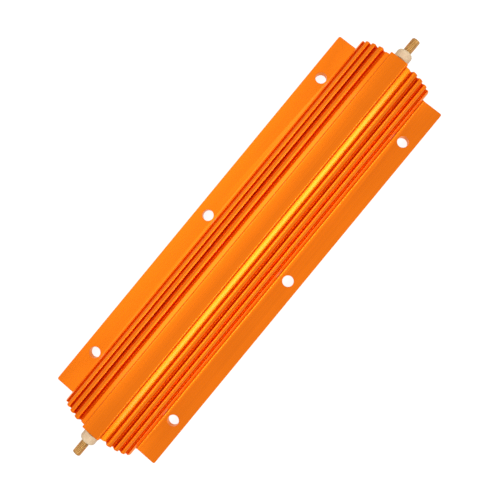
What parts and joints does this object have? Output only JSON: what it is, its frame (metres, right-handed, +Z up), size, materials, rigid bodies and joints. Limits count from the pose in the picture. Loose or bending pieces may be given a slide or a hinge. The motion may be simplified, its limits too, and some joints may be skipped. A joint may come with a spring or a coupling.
{
  "type": "aluminium housed power resistor",
  "caption": "Chassis-mount wire-wound power resistor in a finned gold anodised aluminium extrusion, with drilled mounting flanges, stud terminals and ceramic insulators.",
  "frame": {"origin": "centre of the base's underside, midway between the two ends and the two flange edges", "axes": "+X along the extrusion towards the right-hand terminal, +Y across it towards one flange, +Z up out of the mounting surface"},
  "size_m": [0.2862, 0.072, 0.0353],
  "materials": {
    "anodised_housing": "gold anodised, satin gloss",
    "ceramic": "unglazed, pale cream",
    "potting": "matte filled resin",
    "terminal_metal": "passivated, slightly yellow",
    "resistance_alloy": "bare ribbon"
  },
  "bodies": {
    "root": {"housing": "anodised_housing", "ceramic_core": "ceramic", "resistance_winding": "resistance_alloy", "potting_sleeve": "potting", "end_cap_left": "terminal_metal", "end_cap_right": "terminal_metal", "terminal_stud_left": "terminal_metal", "terminal_stud_right": "terminal_metal", "end_plug_left": "potting", "end_plug_right": "potting", "terminal_insulator_left": "ceramic", "terminal_insulator_right": "ceramic"}
  },
  "joints": []
}
